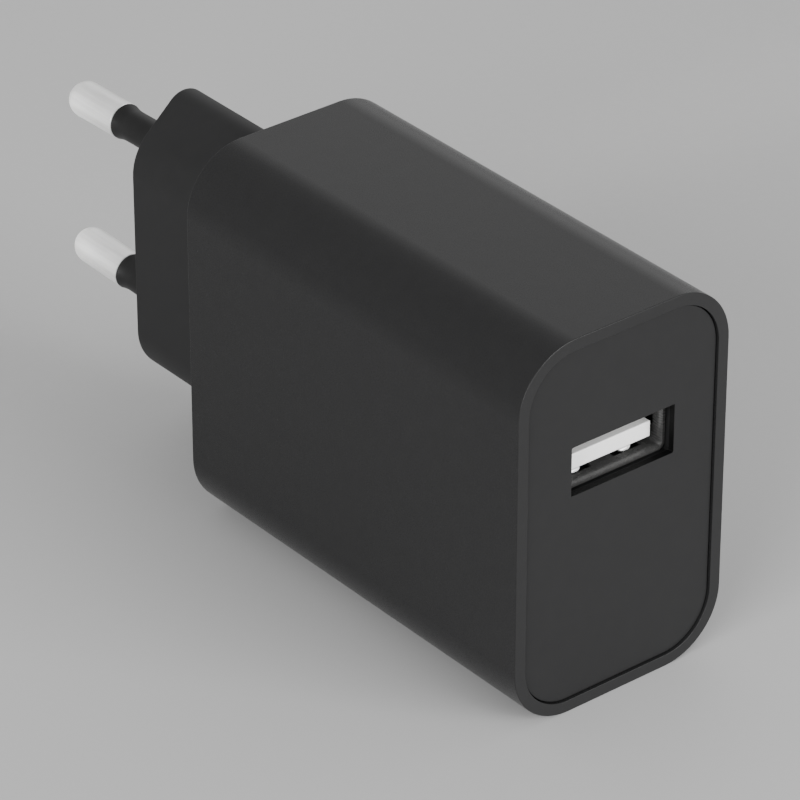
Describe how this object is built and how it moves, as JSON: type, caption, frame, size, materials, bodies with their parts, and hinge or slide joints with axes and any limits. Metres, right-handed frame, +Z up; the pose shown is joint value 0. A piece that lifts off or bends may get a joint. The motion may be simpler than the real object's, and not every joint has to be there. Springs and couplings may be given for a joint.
{
  "type": "usb wall charger",
  "caption": "Compact black mains charger with a flat two-pin European plug at one end and a USB-A socket in the other.",
  "frame": {"origin": "centre of the bounding box in X and Y, on the flat narrow side that the charger stands on", "axes": "+Y runs along the mains pins, out of the plug; the USB socket faces -Y; +Z is up; +X is right seen from the USB side"},
  "size_m": [0.0264, 0.0884, 0.0418],
  "materials": {
    "housing": "satin black moulding with a very fine grain",
    "face_plate": "satin black moulding with a very fine grain",
    "plug_block": "satin black moulding",
    "pins": "bright nickel plate with fine turning marks",
    "pin_sleeves": "smooth black insulation",
    "contact_springs": "bright copper alloy strip",
    "usb_shell": "tinned sheet metal",
    "usb_insulator": "white moulded nylon",
    "usb_contacts": "thin gold flash",
    "circuit_board": "green solder mask",
    "black_resin": "black moulded resin",
    "ferrite": "dull grey ferrite",
    "winding_tape": "yellow polyester tape over copper wire",
    "capacitor_sleeve": "dark blue shrink sleeve",
    "resistor_coat": "grey-green cement coat",
    "copper_wire": "enamelled copper wire",
    "blue_ceramic": "blue epoxy dip",
    "chip_ceramic": "tan ceramic",
    "insulation_film": "pale insulation film"
  },
  "bodies": {
    "charger": {"housing": "housing", "face_plate": "face_plate", "plug_block": "plug_block", "pin_upper": "pins", "pin_lower": "pins", "pin_sleeve_upper": "pin_sleeves", "pin_sleeve_lower": "pin_sleeves", "contact_spring_upper": "contact_springs", "contact_spring_lower": "contact_springs", "usb_shell": "usb_shell", "usb_insulator": "usb_insulator", "main_board": "circuit_board", "transformer_bobbin": "black_resin", "transformer_core_a": "ferrite", "transformer_core_b": "ferrite", "transformer_winding": "winding_tape", "bulk_capacitor_1": "capacitor_sleeve", "bulk_capacitor_2": "capacitor_sleeve", "output_capacitor_1": "capacitor_sleeve", "output_capacitor_2": "capacitor_sleeve", "bridge_rectifier": "black_resin", "fuse_resistor": "resistor_coat", "choke_core": "ferrite", "choke_winding": "copper_wire", "safety_capacitor": "blue_ceramic", "controller_chip": "black_resin", "output_rectifier": "black_resin", "optocoupler": "black_resin", "chip_capacitor_1": "chip_ceramic", "chip_capacitor_2": "chip_ceramic", "insulation_sheet": "insulation_film", "usb_tail_1": "usb_contacts", "usb_tail_2": "usb_contacts", "usb_tail_3": "usb_contacts", "usb_tail_4": "usb_contacts"},
    "contact_blade_1": {"usb_contact_1": "usb_contacts"},
    "contact_blade_2": {"usb_contact_2": "usb_contacts"},
    "contact_blade_3": {"usb_contact_3": "usb_contacts"},
    "contact_blade_4": {"usb_contact_4": "usb_contacts"}
  },
  "joints": [
    {"name": "contact_press_1", "type": "hinge", "parent": "charger", "child": "contact_blade_1", "pos_m": [-0.00325, -0.033, 0.0265], "axis": [1, 0, 0], "range_deg": [0, 3], "stiffness_Nm_per_rad": 0.1},
    {"name": "contact_press_2", "type": "hinge", "parent": "charger", "child": "contact_blade_2", "pos_m": [-0.00075, -0.033, 0.0265], "axis": [1, 0, 0], "range_deg": [0, 3], "stiffness_Nm_per_rad": 0.1},
    {"name": "contact_press_3", "type": "hinge", "parent": "charger", "child": "contact_blade_3", "pos_m": [0.00125, -0.033, 0.0265], "axis": [1, 0, 0], "range_deg": [0, 3], "stiffness_Nm_per_rad": 0.1},
    {"name": "contact_press_4", "type": "hinge", "parent": "charger", "child": "contact_blade_4", "pos_m": [0.00375, -0.033, 0.0265], "axis": [1, 0, 0], "range_deg": [0, 3], "stiffness_Nm_per_rad": 0.1}
  ]
}
